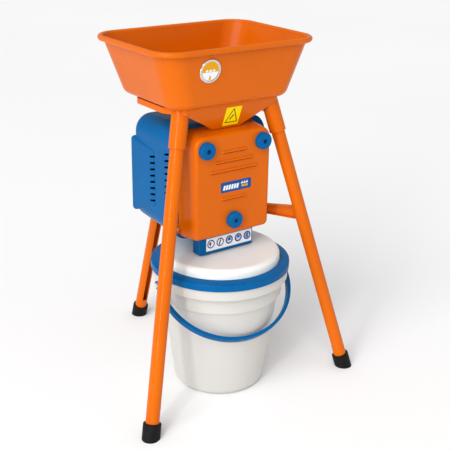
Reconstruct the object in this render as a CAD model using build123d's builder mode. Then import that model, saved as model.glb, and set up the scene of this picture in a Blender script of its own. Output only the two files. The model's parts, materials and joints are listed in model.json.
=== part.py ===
"""Electric grain and fruit mill on a three-legged stand, with a collecting bucket.

Units are millimetres. +Z is up and the screw-down cover faces the front, -Y.
The origin is on the floor, under the middle of the whole machine.
"""

from build123d import *

import math
import os

# ---------------------------------------------------------------- stand
overall_height = 850.0
front_foot_x = 291.5
front_foot_y = -256.5
rear_foot_y = 293.0
front_leg_top_x = 122.0
front_leg_top_y = -122.0
rear_leg_top_y = 67.0
leg_radius = 16.0
leg_wall = 1.6
leg_slot = 13.0
leg_slot_bottom = 60.0
foot_radius = 21.0
foot_height = 36.0
foot_sole = 7.0
sleeve_wall = 3.4
sleeve_gap = 0.3
sleeve_length = 80.0
leg_bolt_radius = 3.0
leg_bolt_below_top = 24.0

frame_sheet = 2.0
frame_flange = 13.0
frame_half_x = 155.0
frame_front_half_x = 124.0
frame_widest_y = -98.0
frame_front_y = -150.0
frame_side_y = 14.0
frame_rear_half_x = 26.0
frame_rear_y = 92.0
frame_corner = 16.0
apron_lean = 22.0
apron_drop = 64.0
apron_shoulder = 14.0
apron_foot_x = 36.0

# ---------------------------------------------------------------- hopper
hopper_y = -38.0
hopper_rim_x = 215.0
hopper_rim_y = 163.0
hopper_rim_corner = 63.0
hopper_floor_x = 160.0
hopper_floor_y = 130.0
hopper_floor_corner = 50.0
hopper_depth = 137.0
hopper_wall = 1.5
hopper_floor_edge = 22.0
floor_screw_x = 108.0
floor_screw_front = 60.0
floor_screw_rear = 40.0
rim_roll = 6.5
badge_x = -86.0
badge_below_rim = 49.0
badge_radius = 27.0
badge_thick = 3.0
label_thick = 0.4
warning_size = (43.0, 50.0)
warning_x = 7.0
warning_below_deck = 8.0

# ---------------------------------------------------------------- feed throat and gate
throat_half_x = 41.5
throat_wall = 1.5
throat_length = 108.0
throat_gap = 3.0
throat_plate_gap = 3.0
apron_gap = 0.3
gate_sheet = 2.0
gate_clearance = 0.3
gate_lap = 4.0
gate_travel = 52.0
gate_tongue_x = (52.0, 82.0)
gate_depth = 50.0
gate_handle_y = 68.0
gate_notch = 3.0
gate_handle_drop = 22.0
gate_knob_radius = 12.0

# ---------------------------------------------------------------- mill
axis_below_floor = 185.0
plate_front_y = -97.0
plate_sheet = 4.0
casing_half_x = 133.0
casing_below_axis = 140.0
casing_above_axis = 136.0
casing_corner = 48.0
casing_depth = 181.0
casing_wall = 2.5
casing_draft = 8.0
casing_rear_edge = 20.0
leg_groove = 23.0
vent_half_x = 131.0
vent_back = 5.0
vent_front_y = -26.0
vent_front_above = 65.0
vent_rear_above = 76.0
vent_front_below = 78.0
vent_rear_below = 118.0
vent_edge = 8.0
vent_corner = 10.0
vent_pitch = 15.5
vent_tilt = -15.0
vent_slot_length = 23.0
vent_slot_width = 5.0
screw_radius = 2.2
screw_boss = 22.0
screw_above = 84.0
screw_below = 80.0
VENTS = {-12.0: (46.0, 8), -78.0: (68.5, 9)}

cover_half_x = 113.0
cover_below_axis = 134.0
cover_above_axis = 126.0
cover_corner = 34.0
cover_low_corner = 20.0
cover_depth = 59.0
cover_draft = 8.0
cover_wall = 1.5
cover_front_edge = 10.0
seal_thick = 1.0
seal_width = 6.0
seal_gap = 0.3
louvre_radius = 4.5
LOUVRES = {76.0: 30.5, 54.0: 49.0, 32.0: 63.0, -37.0: 32.0}
brand_label_size = (86.0, 25.0)
brand_label_x = 7.0
brand_label_above_axis = -8.0

stud_radius = 4.0
stud_clearance = 0.15
stud_side_x = 78.5
stud_side_above = 89.0
stud_bottom_below = 90.0
knob_radius = 20.0
knob_height = 14.0
knob_lobes = 12
knob_socket = 6.0
knob_cap_wall = 3.0

sieve_radius = 78.0
sieve_wall = 1.2
sieve_end_gap = 1.0
sieve_hole = 3.0
sieve_rows = 4
sieve_step = 10.0
sieve_arc = 250.0
sieve_margin = 7.0
chamber_wall = 4.0
chamber_depth = 10.0

chute_half_x = 77.0
chute_depth = 34.0
chute_wall = 2.0
chute_below_cover = 41.0
chute_lap = 10.0
chute_gap = 2.5

# ---------------------------------------------------------------- rotor
running = 0.05
shaft_radius = 10.0
disc_radius = 54.0
disc_sheet = 3.0
disc_front_gap = 7.0
hub_radius = 15.0
rotor_width = 30.0
hammer_pin = 4.0
hammer_pivot = 42.0
hammer_length = 24.0
hammer_half = 9.0
hammer_side_gap = 0.5
nut_width = 22.0
nut_height = 8.0
washer_radius = 16.0
washer_thick = 2.5

# ---------------------------------------------------------------- motor
bearing_outer = 21.0
bearing_width = 12.0
shield_radius = 64.0
shield_wall = 3.0
shield_depth = 24.0
stator_radius = 62.0
stator_length = 70.0
stator_bore = 35.0
stator_slots = 12
slot_width = 8.0
air_gap = 0.4
winding_inner = 40.0
winding_outer = 52.0
winding_overhang = 15.0
tie_circle = 57.0
tie_radius = 2.5
fan_radius = 50.0
fan_hub = 15.0
fan_depth = 13.0
fan_gap = 3.0
fan_blades = 8
capacitor_radius = 17.5
capacitor_length = 70.0
capacitor_x = 0.0
capacitor_above = 94.0
switch_x = 82.0
switch_above = 30.0
switch_size = (34.0, 58.0)
switch_depth = 26.0
bezel_lip = 3.0
button_size = (22.0, 20.0)
button_gap = 0.3
button_proud = 5.0
button_pitch = 26.0
gland_x = 62.0
gland_below = 70.0
gland_radius = 9.0

# ---------------------------------------------------------------- braces
brace_below_axis = 108.0
brace_inner_half = 12.0
brace_outer_half = 17.0
brace_thick = 10.0
brace_sheet = 2.0
brace_start_x = 136.0
brace_bolt_x = 119.5
brace_nut_radius = 4.8
bolt_radius = 3.0

# ---------------------------------------------------------------- bucket
bucket_y = -107.0
bucket_floor_radius = 109.0
bucket_shoulder_radius = 143.0
bucket_neck_radius = 150.0
bucket_collar_radius = 164.0
bucket_wall = 2.5
bucket_neck = 70.0
bucket_floor_edge = 17.0
bucket_lip = 13.0
bucket_lip_sheet = 3.0
collar_height = 24.0
lid_gap = 3.0
lid_ring_radius = 168.0
lid_ring_height = 16.0
lid_radius = 143.0
lid_rise = 30.0
lid_edge = 12.0
lid_wall = 2.5
lid_taper = 1.5
lid_hook = 9.0
ring_above_seat = 4.0
ring_wall = 3.0
bail_yaw = -2.0
bail_half_width = 173.0
bail_reach = 190.0
bail_droop = 41.0
bail_straight = 30.0
bail_width = 14.0
bail_thick = 8.0
bail_above_skirt = 7.0
bail_boss = 10.0
bail_pin = 4.5

# ---------------------------------------------------------------- derived places
deck_z = overall_height - hopper_depth
axis_z = deck_z - axis_below_floor
leg_top_z = deck_z - 7.0
plate_back_y = plate_front_y + plate_sheet
casing_back_y = plate_front_y + casing_depth
vent_back_y = casing_back_y + vent_back
cover_open_y = plate_front_y - seal_thick - seal_gap
cover_front_y = cover_open_y - cover_depth
cover_bottom_z = axis_z - cover_below_axis
cover_top_z = axis_z + cover_above_axis
throat_back_y = plate_front_y - throat_plate_gap
throat_top_z = deck_z - frame_sheet - gate_sheet - 2 * gate_clearance
throat_bottom_z = deck_z - throat_length
apron_bottom_z = deck_z - frame_sheet - apron_drop * math.cos(math.radians(apron_lean))
chute_back_y = plate_front_y - 4.0
chute_front_y = chute_back_y - chute_depth
chute_bottom_z = cover_bottom_z - chute_below_cover
chute_top_z = cover_bottom_z + chute_lap
lid_top_z = chute_bottom_z - lid_gap
lid_seat_z = lid_top_z - lid_rise
bail_z = lid_seat_z - bucket_lip - collar_height + bail_above_skirt
rotor_back_y = plate_front_y - disc_front_gap
rotor_front_y = rotor_back_y - rotor_width - 2 * disc_sheet
stator_front_y = plate_back_y + shield_depth
stator_back_y = stator_front_y + stator_length
shield_back_y = stator_back_y + shield_depth
fan_front_y = shield_back_y + fan_gap
STUDS = [
    (-stud_side_x, axis_z + stud_side_above),
    (stud_side_x, axis_z + stud_side_above),
    (0.0, axis_z - stud_bottom_below),
]
TOWARDS_MIN = (Align.CENTER, Align.CENTER, Align.MIN)

LEGS = {
    "front_left": ((-front_foot_x, front_foot_y), (-front_leg_top_x, front_leg_top_y)),
    "front_right": ((front_foot_x, front_foot_y), (front_leg_top_x, front_leg_top_y)),
    "rear": ((0.0, rear_foot_y), (0.0, rear_leg_top_y)),
}


# ---------------------------------------------------------------- helpers
def save(builder, label):
    """Labels a finished piece and writes its STEP file."""
    builder.part.label = label
    export_step(builder.part, f"parts/{label}.step")


def upright(y):
    """A plane at y that faces the front: local X is +X and local Y is +Z."""
    return Plane((0, y, 0), x_dir=(1, 0, 0), z_dir=(0, -1, 0))


def bar(radius, front, back, x=0.0, z=axis_z, mode=Mode.ADD):
    """A round solid along Y, from its front plane to its back plane."""
    with Locations(Plane((x, front, z), x_dir=(1, 0, 0), z_dir=(0, 1, 0))):
        Cylinder(radius, back - front, align=TOWARDS_MIN, mode=mode)


def block(x, y, z, mode=Mode.ADD):
    """A box between pairs of X, Y and Z planes."""
    with Locations(((x[0] + x[1]) / 2, (y[0] + y[1]) / 2, (z[0] + z[1]) / 2)):
        Box(x[1] - x[0], y[1] - y[0], z[1] - z[0], mode=mode)


def throat_front(z):
    """The Y of the throat's front face, which runs down close behind the leaning apron."""
    lean = math.radians(apron_lean)
    below = deck_z - frame_sheet - max(z, apron_bottom_z)
    return frame_front_y + below * math.tan(lean) + frame_sheet / math.cos(lean) + apron_gap


def leg_point(name, z):
    """The point at height z on a leg's axis."""
    (foot_x, foot_y), (top_x, top_y) = LEGS[name]
    share = z / leg_top_z
    return Vector(foot_x + (top_x - foot_x) * share, foot_y + (top_y - foot_y) * share, z)


def leg_plane(name, z):
    """A plane across a leg: its normal runs up the leg and its X axis points into the stand."""
    upward = (leg_point(name, leg_top_z) - leg_point(name, 0)).normalized()
    foot = leg_point(name, 0)
    inward = Vector(-foot.X, -foot.Y, 0)
    across = inward - upward * upward.dot(inward)
    return Plane(leg_point(name, z), x_dir=across.normalized(), z_dir=upward)


def leg_run(name, low, high):
    """The distance along a leg between two heights."""
    return (leg_point(name, high) - leg_point(name, low)).length


def rounded_panel(y, half_x, low, high, corner, low_corner):
    """An upright panel outline whose lower corners can be sharper than its upper ones."""
    with BuildSketch(upright(y)) as panel:
        with Locations((0, (low + high) / 2)):
            Rectangle(2 * half_x, high - low)
        fillet(panel.vertices().group_by(Axis.Y)[0], low_corner)
        fillet(panel.vertices().group_by(Axis.Y)[-1], corner)
    return panel.sketch.face()


def drafted_block(open_y, closed_y, half_x, low, high, corner, low_corner, draft, edge):
    """A block that narrows by the draft from its open plane to its closed one, with a rounded closed edge."""
    wide = rounded_panel(open_y, half_x, low, high, corner, low_corner)
    narrow = rounded_panel(
        closed_y, half_x - draft, low + draft, high - draft, corner - draft, low_corner - draft
    )
    with BuildPart() as drafted:
        loft(sections=[wide, narrow])
        closed = drafted.faces().sort_by(Axis.Y)[0 if closed_y < open_y else -1]
        fillet(closed.edges(), edge)
    return drafted.part


def tub_block(low_z, high_z, inset):
    """The hopper's tapered form between two heights, drawn in by an inset on every side."""
    with BuildPart() as tub:
        with BuildSketch(Plane.XY.offset(low_z)):
            with Locations((0, hopper_y)):
                RectangleRounded(
                    2 * (hopper_floor_x - inset),
                    2 * (hopper_floor_y - inset),
                    hopper_floor_corner - inset,
                )
        with BuildSketch(Plane.XY.offset(high_z)):
            with Locations((0, hopper_y)):
                RectangleRounded(
                    2 * (hopper_rim_x - 2 * rim_roll + hopper_wall - inset),
                    2 * (hopper_rim_y - 2 * rim_roll + hopper_wall - inset),
                    hopper_rim_corner - 2 * rim_roll + hopper_wall - inset,
                )
        loft()
        fillet(tub.faces().sort_by(Axis.Z)[0].edges(), hopper_floor_edge - inset)
    return tub.part


# ---------------------------------------------------------------- hopper pieces
def make_hopper():
    bead_z = overall_height - rim_roll
    outer = tub_block(deck_z, bead_z, 0.0)
    inner = tub_block(deck_z + hopper_wall, bead_z + hopper_wall, hopper_wall)
    with BuildPart() as hopper:
        add(outer)
        add(inner, mode=Mode.SUBTRACT)
        with BuildSketch(Plane.XY.offset(bead_z), mode=Mode.PRIVATE) as bead:
            with Locations((0, hopper_y)):
                RectangleRounded(
                    2 * (hopper_rim_x - rim_roll),
                    2 * (hopper_rim_y - rim_roll),
                    hopper_rim_corner - rim_roll,
                )
        bead_path = bead.sketch.face().outer_wire()
        start = bead_path @ 0
        side = (bead_path % 0).cross(Vector(0, 0, 1))
        outward = side if side.dot(start - Vector(0, hopper_y, bead_z)) > 0 else side * -1
        with BuildSketch(Plane(start, x_dir=outward, z_dir=outward.cross(Vector(0, 0, -1)))):
            Circle(rim_roll)
            Circle(rim_roll - hopper_wall, mode=Mode.SUBTRACT)
            with Locations((-rim_roll / 2, rim_roll / 2)):
                Rectangle(rim_roll, rim_roll, mode=Mode.SUBTRACT)
        sweep(path=bead_path, transition=Transition.RIGHT)
        block(
            (-throat_half_x + throat_wall, throat_half_x - throat_wall),
            (throat_front(deck_z) + throat_wall, throat_back_y - throat_wall),
            (deck_z - 1, deck_z + 5),
            mode=Mode.SUBTRACT,
        )
        for x, y in deck_bolt_points():
            with Locations((x, y, deck_z)):
                Cylinder(bolt_radius, 10, mode=Mode.SUBTRACT)
    save(hopper, "hopper")


def deck_bolt_points():
    """The four screws that hold the hopper's floor to the deck."""
    sides = (-floor_screw_x, floor_screw_x)
    return [(x, y) for x in sides for y in (hopper_y - floor_screw_front, hopper_y + floor_screw_rear)]


def make_hopper_bolts():
    with BuildPart() as bolts:
        for x, y in deck_bolt_points():
            with Locations((x, y, deck_z - frame_sheet)):
                Cylinder(bolt_radius, frame_sheet + hopper_wall, align=TOWARDS_MIN)
            with Locations((x, y, deck_z + hopper_wall)):
                Cylinder(2.2 * bolt_radius, 3.0, align=TOWARDS_MIN)
            with BuildSketch(Plane.XY.offset(deck_z - frame_sheet)):
                with Locations((x, y)):
                    RegularPolygon(1.9 * bolt_radius, 6)
            extrude(amount=-5.0)
    save(bolts, "hopper_bolts")


def hopper_front_plane(x, z):
    """A plane on the hopper's sloping front wall that faces out, with local Y up the slope."""
    rise = overall_height - rim_roll - deck_z
    spread = hopper_rim_y - 2 * rim_roll + hopper_wall - hopper_floor_y
    share = (z - deck_z) / rise
    out = Vector(0, -rise, -spread).normalized()
    return Plane((x, hopper_y - hopper_floor_y - spread * share, z), x_dir=(1, 0, 0), z_dir=out)


def make_badge():
    place = hopper_front_plane(badge_x, overall_height - badge_below_rim)
    with BuildPart() as badge:
        with BuildSketch(place):
            Circle(badge_radius)
        extrude(amount=badge_thick)
        chamfer(badge.faces().sort_by(Axis.Y)[0].edges(), badge_thick / 3)
        with BuildSketch(place.offset(badge_thick)):
            Circle(badge_radius - 4.0)
        extrude(amount=-badge_thick / 3, mode=Mode.SUBTRACT)
    save(badge, "hopper_badge")


# ---------------------------------------------------------------- stand pieces
def make_support_frame():
    with BuildPart() as frame:
        with BuildSketch(Plane.XY.offset(deck_z)) as deck:
            with BuildLine():
                Polyline(
                    (-frame_front_half_x, frame_front_y),
                    (frame_front_half_x, frame_front_y),
                    (frame_half_x, frame_widest_y),
                    (frame_half_x, frame_side_y),
                    (frame_rear_half_x, frame_rear_y),
                    (-frame_rear_half_x, frame_rear_y),
                    (-frame_half_x, frame_side_y),
                    (-frame_half_x, frame_widest_y),
                    close=True,
                )
            make_face()
            fillet(deck.vertices(), frame_corner)
        extrude(amount=-frame_flange)
        with BuildSketch(Plane.XY.offset(deck_z - frame_sheet)):
            add(deck.sketch)
            offset(amount=-frame_sheet)
        extrude(amount=-frame_flange, mode=Mode.SUBTRACT)
        with BuildSketch(apron_plane()):
            with Locations((0, -apron_drop / 2)):
                Rectangle(2 * front_leg_top_x, apron_drop)
        extrude(amount=frame_flange / 2, mode=Mode.SUBTRACT)
        with BuildSketch(apron_plane()):
            with BuildLine():
                Polyline(
                    (-front_leg_top_x, 0),
                    (front_leg_top_x, 0),
                    (front_leg_top_x, -apron_shoulder),
                    (apron_foot_x, -apron_drop),
                    (-apron_foot_x, -apron_drop),
                    (-front_leg_top_x, -apron_shoulder),
                    close=True,
                )
            make_face()
        extrude(amount=-frame_sheet)
        for name in LEGS:
            bottom = leg_plane(name, leg_top_z - sleeve_length)
            with BuildSketch(bottom):
                Circle(leg_radius + sleeve_gap + sleeve_wall)
            extrude(amount=leg_run(name, 0, sleeve_length + 3))
        block((-500, 500), (-500, 500), (deck_z, deck_z + 50), mode=Mode.SUBTRACT)
        for name in LEGS:
            bottom = leg_plane(name, leg_top_z - sleeve_length)
            with BuildSketch(bottom):
                Circle(leg_radius + sleeve_gap)
            extrude(amount=leg_run(name, 0, sleeve_length), mode=Mode.SUBTRACT)
            with Locations(bolt_plane(name)):
                Cylinder(leg_bolt_radius, 60, mode=Mode.SUBTRACT, align=TOWARDS_MIN)
        block(
            (-throat_half_x + throat_wall, throat_half_x - throat_wall),
            (throat_front(deck_z) + throat_wall, throat_back_y - throat_wall),
            (deck_z - 5, deck_z + 5),
            mode=Mode.SUBTRACT,
        )
        block(
            (gate_tongue_x[0] - gate_notch, gate_tongue_x[1] + gate_notch),
            (frame_side_y, frame_rear_y),
            (deck_z - frame_flange, deck_z - frame_sheet),
            mode=Mode.SUBTRACT,
        )
        for x, y in deck_bolt_points():
            with Locations((x, y, deck_z)):
                Cylinder(bolt_radius, 10, mode=Mode.SUBTRACT)
    save(frame, "support_frame")


def apron_plane():
    """The face of the sheet apron that leans back under the deck: local Y runs up it."""
    lean = math.radians(apron_lean)
    front = (0, frame_front_y, deck_z - frame_sheet)
    return Plane(front, x_dir=(1, 0, 0), z_dir=(0, -math.cos(lean), -math.sin(lean)))


def bolt_plane(name):
    """The leg screw's plane: it starts on the leg's axis and its normal points into the stand."""
    across = leg_plane(name, leg_top_z - leg_bolt_below_top)
    return Plane(across.origin, x_dir=across.z_dir, z_dir=across.x_dir)


def make_warning_label():
    place = apron_plane()
    with BuildPart() as label:
        with BuildSketch(place):
            with Locations((warning_x, -warning_below_deck - warning_size[1] / 2)):
                RectangleRounded(warning_size[0], warning_size[1], 2.0)
        extrude(amount=label_thick)
    save(label, "warning_label")


def make_leg(name):
    slot_top = leg_top_z - sleeve_length - 15.0
    with BuildPart() as leg:
        with BuildSketch(leg_plane(name, foot_sole)):
            Circle(leg_radius)
            Circle(leg_radius - leg_wall, mode=Mode.SUBTRACT)
        extrude(amount=leg_run(name, foot_sole, leg_top_z) - 2.0)
        with BuildSketch(leg_plane(name, leg_slot_bottom)):
            with Locations((leg_radius, 0)):
                Rectangle(leg_radius, leg_slot)
        extrude(amount=leg_run(name, leg_slot_bottom, slot_top), mode=Mode.SUBTRACT)
        with Locations(bolt_plane(name)):
            Cylinder(leg_bolt_radius, 60, mode=Mode.SUBTRACT, align=TOWARDS_MIN)
    save(leg, f"leg_{name}")


def make_foot(name):
    base = leg_plane(name, 0)
    with BuildPart() as foot:
        with BuildSketch(base.offset(-foot_radius)):
            Circle(foot_radius)
        extrude(amount=foot_height + foot_radius)
        fillet(foot.faces().sort_by(Axis.Z)[-1].edges(), 2.5)
        with BuildSketch(leg_plane(name, foot_sole)):
            Circle(leg_radius)
        extrude(amount=foot_height, mode=Mode.SUBTRACT)
        split(bisect_by=Plane.XY, keep=Keep.TOP)
    save(foot, f"foot_{name}")


def make_leg_bolts():
    """One hex screw in each sleeve, driven through the leg's wall from inside the stand."""
    with BuildPart() as bolts:
        for name in LEGS:
            place = bolt_plane(name)
            head = leg_radius + sleeve_gap + sleeve_wall
            with Locations(place.offset(leg_radius - leg_wall - 3.0)):
                Cylinder(leg_bolt_radius, head - leg_radius + leg_wall + 4.0, align=TOWARDS_MIN)
            with BuildSketch(place.offset(head)):
                RegularPolygon(5.5, 6)
            extrude(amount=4.0)
    save(bolts, "leg_bolts")


def brace_plane():
    """The right brace's upright middle plane: local X runs from the mill to the leg."""
    leg = leg_point("front_right", axis_z - brace_below_axis)
    start = Vector(brace_start_x, plate_front_y - 4.0, 0)
    along = (Vector(leg.X, leg.Y, 0) - start).normalized()
    return Plane(start, x_dir=along, z_dir=along.cross(Vector(0, 0, 1)))


def make_braces():
    middle = axis_z - brace_below_axis
    leg = leg_point("front_right", middle)
    place = brace_plane()
    reach = (Vector(leg.X, leg.Y, 0) - place.origin).length
    with BuildPart() as right:
        with BuildSketch(place) as outline:
            with BuildLine():
                Polyline(
                    (0, middle - brace_inner_half),
                    (reach, middle - brace_outer_half),
                    (reach, middle + brace_outer_half),
                    (0, middle + brace_inner_half),
                    close=True,
                )
            make_face()
        extrude(amount=brace_thick / 2, both=True)
        with BuildSketch(place.offset(brace_sheet - brace_thick / 2)):
            with BuildLine():
                Polyline(
                    (brace_sheet, middle - brace_inner_half + brace_sheet),
                    (reach, middle - brace_outer_half + brace_sheet),
                    (reach, middle + brace_outer_half - brace_sheet),
                    (brace_sheet, middle + brace_inner_half - brace_sheet),
                    close=True,
                )
            make_face()
        extrude(amount=brace_thick, mode=Mode.SUBTRACT)
        block(
            (brace_bolt_x - 5.5, brace_start_x + 5.0),
            (plate_front_y - 2 * brace_sheet, plate_front_y),
            (middle - brace_inner_half, middle + brace_inner_half),
        )
        block((0, 300), (plate_front_y, 0), (0, 900), mode=Mode.SUBTRACT)
        with Locations(leg_plane("front_right", middle - 60)):
            Cylinder(leg_radius, 140, align=TOWARDS_MIN, mode=Mode.SUBTRACT)
        block((leg.X, 400), (-400, 400), (0, 900), mode=Mode.SUBTRACT)
        bar(brace_nut_radius / 2, -200, 0, brace_bolt_x, middle, Mode.SUBTRACT)
    save(right, "brace_right")
    with BuildPart() as left:
        mirror(right.part, about=Plane.YZ)
    save(left, "brace_left")


def make_brace_bolts():
    middle = axis_z - brace_below_axis
    head_y = plate_front_y - 2 * brace_sheet
    with BuildPart() as bolts:
        for x in (-brace_bolt_x, brace_bolt_x):
            bar(brace_nut_radius / 2, head_y, plate_back_y + 5.0, x, middle)
            with BuildSketch(upright(head_y)):
                with Locations((x, middle)):
                    RegularPolygon(brace_nut_radius, 6)
            extrude(amount=4.0)
            with BuildSketch(upright(plate_back_y)):
                with Locations((x, middle)):
                    RegularPolygon(brace_nut_radius, 6)
            extrude(amount=-4.5)
    save(bolts, "brace_bolts")


# ---------------------------------------------------------------- feed pieces
def make_feed_throat():
    """The sloping tube from the deck into the mill, with a flange that also guides the gate."""
    flange_top = deck_z - frame_sheet
    right_x = (gate_tongue_x[1] + gate_clearance, gate_tongue_x[1] + 9.0)
    left_x = (-throat_half_x - gate_lap - 9.0, -throat_half_x - gate_lap - gate_clearance)
    flange_y = (throat_front(throat_top_z - throat_wall), throat_back_y + 5.0)
    with BuildPart() as throat:
        block((left_x[0], right_x[1]), flange_y, (throat_top_z - throat_wall, throat_top_z))
        block(left_x, flange_y, (throat_top_z, flange_top))
        block(right_x, flange_y, (throat_top_z, flange_top))
        for inset, mode in ((0.0, Mode.ADD), (throat_wall, Mode.SUBTRACT)):
            with BuildSketch(Plane.YZ):
                with BuildLine():
                    Polyline(
                        (throat_front(throat_top_z) + inset, throat_top_z + inset),
                        (throat_front(apron_bottom_z) + inset, apron_bottom_z),
                        (throat_front(apron_bottom_z) + inset, throat_bottom_z - inset),
                        (throat_back_y - inset, throat_bottom_z - inset),
                        (throat_back_y - inset, throat_top_z + inset),
                        close=True,
                    )
                make_face()
            extrude(amount=throat_half_x - inset, both=True, mode=mode)
        block(
            (-throat_half_x, throat_half_x),
            (throat_back_y - throat_wall, plate_front_y),
            (throat_bottom_z, throat_bottom_z + 20.0),
        )
    save(throat, "feed_throat")


def make_feed_gate():
    """The slide plate under the hopper's outlet, drawn back here so that the outlet is open."""
    top = deck_z - frame_sheet - gate_clearance
    front = throat_front(throat_top_z) + gate_clearance + gate_travel
    with BuildPart() as gate:
        block(
            (-throat_half_x - gate_lap, gate_tongue_x[1]),
            (front, front + gate_depth),
            (top - gate_sheet, top),
        )
        block(gate_tongue_x, (front, gate_handle_y), (top - gate_sheet, top))
        block(
            gate_tongue_x,
            (gate_handle_y - gate_sheet, gate_handle_y),
            (top - gate_handle_drop, top),
        )
    save(gate, "feed_gate")


def make_gate_knob():
    x = sum(gate_tongue_x) / 2
    z = deck_z - frame_sheet - gate_clearance - gate_handle_drop + gate_knob_radius / 2
    with BuildPart() as knob:
        bar(5.0, gate_handle_y, gate_handle_y + 8.0, x, z)
        bar(gate_knob_radius, gate_handle_y + 8.0, gate_handle_y + 17.0, x, z)
        fillet(knob.faces().sort_by(Axis.Y)[-1].edges(), 3.0)
    save(knob, "gate_knob")


# ---------------------------------------------------------------- mill body
def make_mounting_plate():
    inset = casing_wall + 0.3
    low = axis_z - casing_below_axis + inset
    high = axis_z + casing_above_axis - inset
    with BuildPart() as plate:
        with BuildSketch(upright(plate_front_y)):
            with Locations((0, (low + high) / 2)):
                RectangleRounded(2 * (casing_half_x - inset), high - low, casing_corner - inset)
            with Locations((0, axis_z)):
                Circle(shaft_radius + 2.0, mode=Mode.SUBTRACT)
                with PolarLocations(tie_circle, 4, start_angle=45):
                    Circle(tie_radius, mode=Mode.SUBTRACT)
            with Locations(*STUDS):
                Circle(stud_radius, mode=Mode.SUBTRACT)
            middle = axis_z - brace_below_axis
            with Locations((-brace_bolt_x, middle), (brace_bolt_x, middle)):
                Circle(brace_nut_radius / 2, mode=Mode.SUBTRACT)
            with Locations(*casing_screw_points()):
                Circle(screw_radius, mode=Mode.SUBTRACT)
        extrude(amount=-plate_sheet)
    save(plate, "mounting_plate")


def casing_screw_points():
    """The four screws between the cover's outline and the casing's sides."""
    x = (cover_half_x + casing_half_x) / 2
    return [(side * x, axis_z + up) for side in (-1, 1) for up in (screw_above, -screw_below)]


def make_casing_screws():
    with BuildPart() as screws:
        for x, z in casing_screw_points():
            bar(screw_radius, plate_front_y, plate_back_y + 14.0, x, z)
            bar(2 * screw_radius, plate_front_y - 2.2, plate_front_y, x, z)
    save(screws, "casing_screws")


def make_motor_casing():
    low = axis_z - casing_below_axis
    high = axis_z + casing_above_axis
    outer = drafted_block(
        plate_front_y,
        casing_back_y,
        casing_half_x,
        low,
        high,
        casing_corner,
        casing_corner,
        casing_draft,
        casing_rear_edge,
    )
    inner = drafted_block(
        plate_front_y,
        casing_back_y - casing_wall,
        casing_half_x - casing_wall,
        low + casing_wall,
        high - casing_wall,
        casing_corner - casing_wall,
        casing_corner - casing_wall,
        casing_draft,
        casing_rear_edge - casing_wall,
    )
    outer_vents = vent_block(0.0)
    inner_vents = vent_block(casing_wall)
    with BuildPart() as hollow:
        add(inner)
        add(inner_vents)
        cut_leg_groove(leg_groove + casing_wall)
    with BuildPart() as casing:
        add(outer)
        add(outer_vents)
        cut_leg_groove(leg_groove)
        add(hollow.part, mode=Mode.SUBTRACT)
        for x, z in casing_screw_points():
            bar(screw_radius + 3.0, plate_back_y, plate_back_y + screw_boss, x, z)
            side = math.copysign(casing_half_x - casing_wall, x)
            block(
                sorted((x, side)),
                (plate_back_y, plate_back_y + screw_boss),
                (z - 2.0, z + 2.0),
            )
            bar(screw_radius, plate_back_y, plate_back_y + 14.0, x, z, Mode.SUBTRACT)
        for y, (top_above, count) in VENTS.items():
            for row in range(count):
                with BuildSketch(Plane.YZ):
                    with Locations((y, axis_z + top_above - row * vent_pitch)):
                        SlotOverall(vent_slot_length, vent_slot_width, rotation=vent_tilt)
                extrude(amount=casing_half_x + 10, both=True, mode=Mode.SUBTRACT)
        block(
            (switch_x - switch_size[0] / 2, switch_x + switch_size[0] / 2),
            (vent_back_y - 10, vent_back_y + 10),
            (axis_z + switch_above - switch_size[1] / 2, axis_z + switch_above + switch_size[1] / 2),
            mode=Mode.SUBTRACT,
        )
        bar(gland_radius, vent_back_y - 9, vent_back_y + 9, gland_x, axis_z - gland_below, Mode.SUBTRACT)
    save(casing, "motor_casing")


def cut_leg_groove(radius):
    """Cuts the clearance for the rear leg, which passes close behind the casing."""
    start = leg_plane("rear", axis_z - casing_below_axis)
    with Locations(start):
        Cylinder(radius, leg_run("rear", 0, leg_top_z), align=TOWARDS_MIN, mode=Mode.SUBTRACT)


def vent_block(inset):
    """The raised band round the casing's rear that carries the air slots on both sides."""
    back = vent_back_y - inset
    front = vent_front_y + inset
    with BuildPart() as bulge:
        with BuildSketch(Plane.YZ) as side:
            with BuildLine():
                Polyline(
                    (front, axis_z + vent_front_above - inset),
                    (back, axis_z + vent_rear_above - inset),
                    (back, axis_z - vent_rear_below + inset),
                    (front, axis_z - vent_front_below + inset),
                    close=True,
                )
            make_face()
            fillet(side.vertices(), vent_corner - inset)
        extrude(amount=vent_half_x - inset, both=True)
        fillet(bulge.faces().filter_by(Axis.X).edges(), vent_edge - inset)
    return bulge.part


def make_cover_studs():
    """Three threaded studs that stand out of the plate and hold the cover."""
    tip = cover_front_y - knob_height + knob_cap_wall + 1.0
    with BuildPart() as studs:
        for x, z in STUDS:
            bar(stud_radius, tip, plate_back_y, x, z)
            bar(2 * stud_radius, plate_front_y - 3.0, plate_front_y, x, z)
            bar(1.7 * stud_radius, plate_back_y, plate_back_y + 4.0, x, z)
    save(studs, "cover_studs")


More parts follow.
